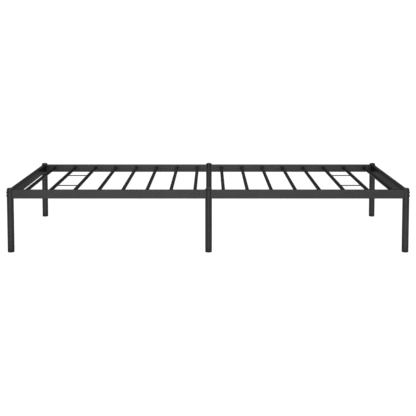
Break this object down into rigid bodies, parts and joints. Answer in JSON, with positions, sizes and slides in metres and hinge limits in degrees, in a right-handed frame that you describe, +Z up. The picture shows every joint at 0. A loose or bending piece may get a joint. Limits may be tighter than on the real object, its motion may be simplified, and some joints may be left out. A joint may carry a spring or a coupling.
{
  "type": "metal bed frame",
  "caption": "Low single metal bed frame: round legs with domed caps, rectangular rails and round cross slats, in black powder coat.",
  "frame": {"origin": "on the floor, under the centre of the frame", "axes": "+X along the length of the bed, +Y across its width, +Z up"},
  "size_m": [2.0856, 0.965, 0.337],
  "materials": {
    "frame_paint": "satin black powder coat",
    "black_plastic": "moulded black plastic",
    "black_bolts": "black oxide",
    "plain_steel": "zinc plated"
  },
  "bodies": {
    "root": {"cap_front_left": "black_plastic", "cap_front_middle": "black_plastic", "cap_front_right": "black_plastic", "cap_rear_left": "black_plastic", "cap_rear_middle": "black_plastic", "cap_rear_right": "black_plastic", "corner_bolts": "black_bolts", "end_rail_left": "frame_paint", "end_rail_right": "frame_paint", "foot_front_left": "black_plastic", "foot_front_middle": "black_plastic", "foot_front_right": "black_plastic", "foot_rear_left": "black_plastic", "foot_rear_middle": "black_plastic", "foot_rear_right": "black_plastic", "leg_front_left": "frame_paint", "leg_front_middle": "frame_paint", "leg_front_right": "frame_paint", "leg_rear_left": "frame_paint", "leg_rear_middle": "frame_paint", "leg_rear_right": "frame_paint", "middle_screws": "black_bolts", "middle_stub_front_left": "frame_paint", "middle_stub_front_right": "frame_paint", "middle_stub_rear_left": "frame_paint", "middle_stub_rear_right": "frame_paint", "nut_block_front_left": "plain_steel", "nut_block_front_right": "plain_steel", "nut_block_rear_left": "plain_steel", "nut_block_rear_right": "plain_steel", "side_rail_front_left": "frame_paint", "side_rail_front_right": "frame_paint", "side_rail_rear_left": "frame_paint", "side_rail_rear_right": "frame_paint", "slat_01": "frame_paint", "slat_02": "frame_paint", "slat_03": "frame_paint", "slat_04": "frame_paint", "slat_05": "frame_paint", "slat_06": "frame_paint", "slat_07": "frame_paint", "slat_08": "frame_paint", "slat_09": "frame_paint", "slat_10": "frame_paint", "slat_11": "frame_paint", "slat_12": "frame_paint", "slat_13": "frame_paint", "slat_14": "frame_paint", "slat_15": "frame_paint", "slat_16": "frame_paint", "tie_wire_front_left": "frame_paint", "tie_wire_front_right": "frame_paint", "tie_wire_rear_left": "frame_paint", "tie_wire_rear_right": "frame_paint", "weld_nuts": "plain_steel"}
  },
  "joints": []
}
